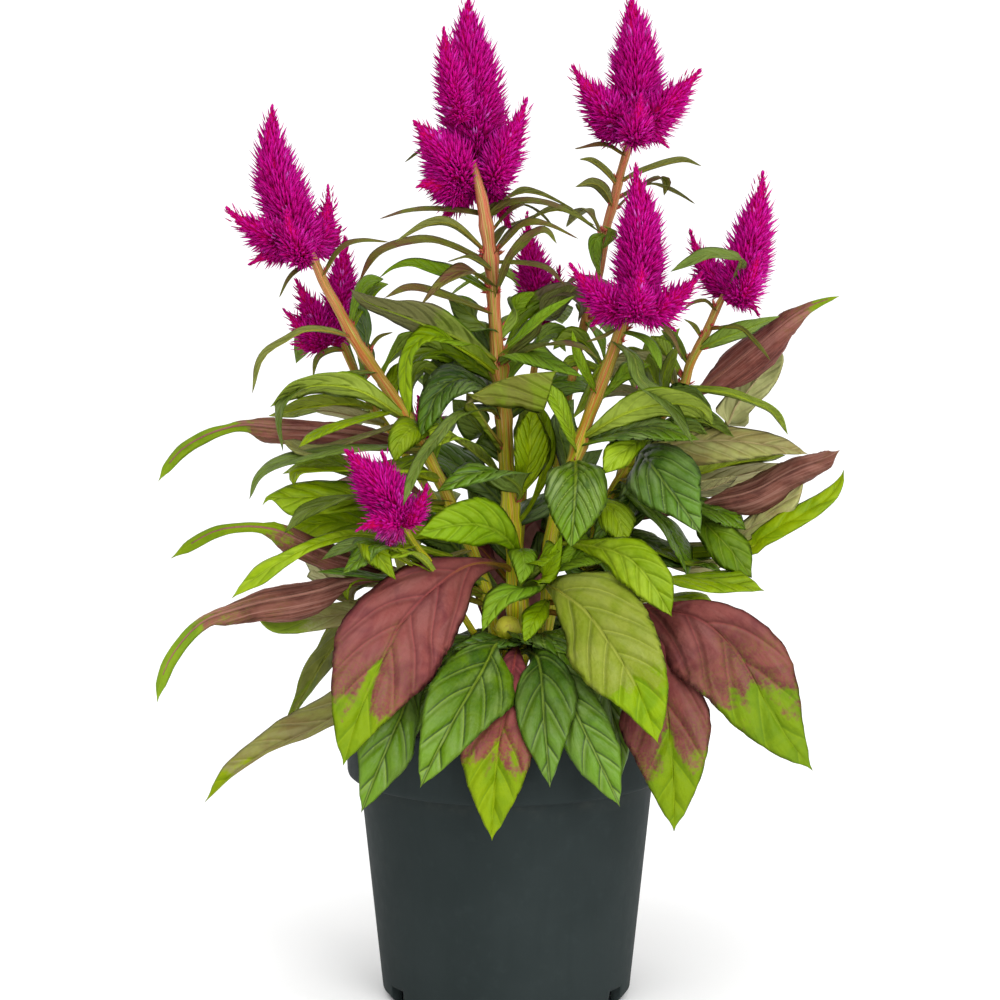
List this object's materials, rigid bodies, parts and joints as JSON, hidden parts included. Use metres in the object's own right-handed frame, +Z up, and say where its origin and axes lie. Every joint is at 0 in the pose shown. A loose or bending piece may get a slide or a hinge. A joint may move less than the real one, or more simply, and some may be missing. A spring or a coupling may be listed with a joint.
{
  "type": "plume celosia in a pot",
  "caption": "Bushy plume celosia with feathery magenta flower spikes, maroon and green leaves, in a round tapered nursery pot.",
  "frame": {"origin": "on the ground plane under the pot, on the pot's axis", "axes": "+Z up along the pot's axis, -Y the plant's front, +X to the right seen from the front"},
  "size_m": [0.2765, 0.1837, 0.4076],
  "materials": {
    "pot_plastic": "satin dark slate grey-green moulded plastic",
    "potting_mix": "rough, dark, crumbly peat and bark",
    "stem": "satin, salmon to yellow-green with fine lengthwise streaks",
    "plume": "papery, vivid magenta with crimson heart",
    "leaf_maroon": "satin dusty maroon with a lime tip and pale pink veins",
    "leaf_rolled": "satin maroon, lengthwise veins, lime tip",
    "leaf_olive": "satin olive with yellow-green veins",
    "leaf_dark_green": "glossy deep green with pale midrib",
    "leaf_green": "satin fresh green"
  },
  "bodies": {
    "root": {"pot": "pot_plastic", "potting_soil": "potting_mix", "main_stem": "stem", "left_stem": "stem", "centre_right_stem": "stem", "right_tall_stem": "stem", "right_stem": "stem", "left_back_stem": "stem", "back_stem": "stem", "front_left_stem": "stem", "back_left_stem": "stem", "back_right_stem": "stem", "left_plume": "plume", "main_plume": "plume", "right_tall_plume": "plume", "centre_right_plume": "plume", "right_plume": "plume", "left_back_plume": "plume", "back_plume": "plume", "front_left_plume": "plume", "back_left_plume": "plume", "back_right_plume": "plume", "leaf_front_left_maroon": "leaf_maroon", "leaf_front_right_maroon": "leaf_maroon", "leaf_front_centre_maroon": "leaf_maroon", "leaf_lower_right_maroon": "leaf_maroon", "leaf_front_right_olive": "leaf_olive", "leaf_front_left_green": "leaf_dark_green", "leaf_front_centre_green": "leaf_dark_green", "leaf_lower_centre_green": "leaf_dark_green", "leaf_lower_left_green": "leaf_dark_green", "leaf_low_left_olive": "leaf_olive", "leaf_centre_heart": "leaf_dark_green", "leaf_right_heart": "leaf_dark_green", "leaf_mid_right_a": "leaf_green", "leaf_mid_right_c": "leaf_green", "leaf_mid_left_bright": "leaf_green", "leaf_centre_folded": "leaf_olive", "leaf_upper_left_broad": "leaf_green", "leaf_right_arch": "leaf_green", "leaf_left_long": "leaf_green", "leaf_left_broad": "leaf_green", "leaf_left_low": "leaf_green", "leaf_rolled_upper_left": "leaf_rolled", "leaf_rolled_mid_left": "leaf_rolled", "leaf_rolled_low_left": "leaf_rolled", "leaf_rolled_upper_right": "leaf_rolled", "leaf_rolled_lower_right": "leaf_rolled", "leaf_olive_left": "leaf_olive", "leaf_olive_right": "leaf_olive", "leaf_olive_right_upper": "leaf_olive", "leaf_right_pointed": "leaf_green", "leaf_back_centre_maroon": "leaf_maroon", "leaf_back_left_maroon": "leaf_maroon", "leaf_back_right_maroon": "leaf_maroon", "leaf_back_right_olive": "leaf_olive", "leaf_back_left_olive": "leaf_olive", "leaf_back_low_left": "leaf_dark_green", "leaf_back_low_right": "leaf_dark_green"}
  },
  "joints": []
}
